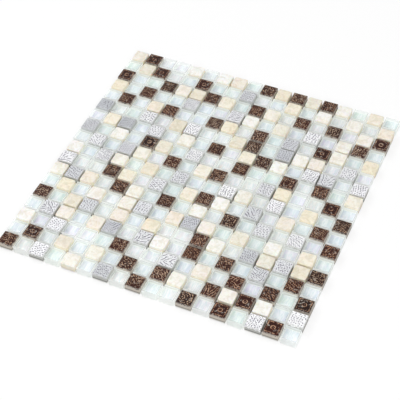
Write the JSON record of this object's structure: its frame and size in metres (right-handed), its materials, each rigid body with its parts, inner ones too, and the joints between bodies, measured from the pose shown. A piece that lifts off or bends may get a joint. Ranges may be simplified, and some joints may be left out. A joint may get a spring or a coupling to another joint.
{
  "type": "mosaic tile sheet",
  "caption": "Flat square sheet of small square glass, stone and relief tiles, set at even open joints on a laid backing mesh.",
  "frame": {"origin": "middle of the sheet, on the surface that its back lies on", "axes": "+X along a row of tiles, +Y towards the back row, +Z out of the tiles' faces"},
  "size_m": [0.3006, 0.3006, 0.0085],
  "materials": {
    "clear_glass": "clear, over a pale painted back",
    "cream_stone": "tumbled and polished",
    "bronze_glaze": "dark glaze with a rubbed copper relief",
    "silver_glaze": "grey glaze with a bright silver relief",
    "glass_fibre": "resin-coated yarn"
  },
  "bodies": {
    "root": {"glass_tiles": "clear_glass", "stone_tiles": "cream_stone", "bronze_relief_tiles": "bronze_glaze", "silver_relief_tiles": "silver_glaze", "mesh_weft": "glass_fibre", "mesh_warp": "glass_fibre"}
  },
  "joints": []
}
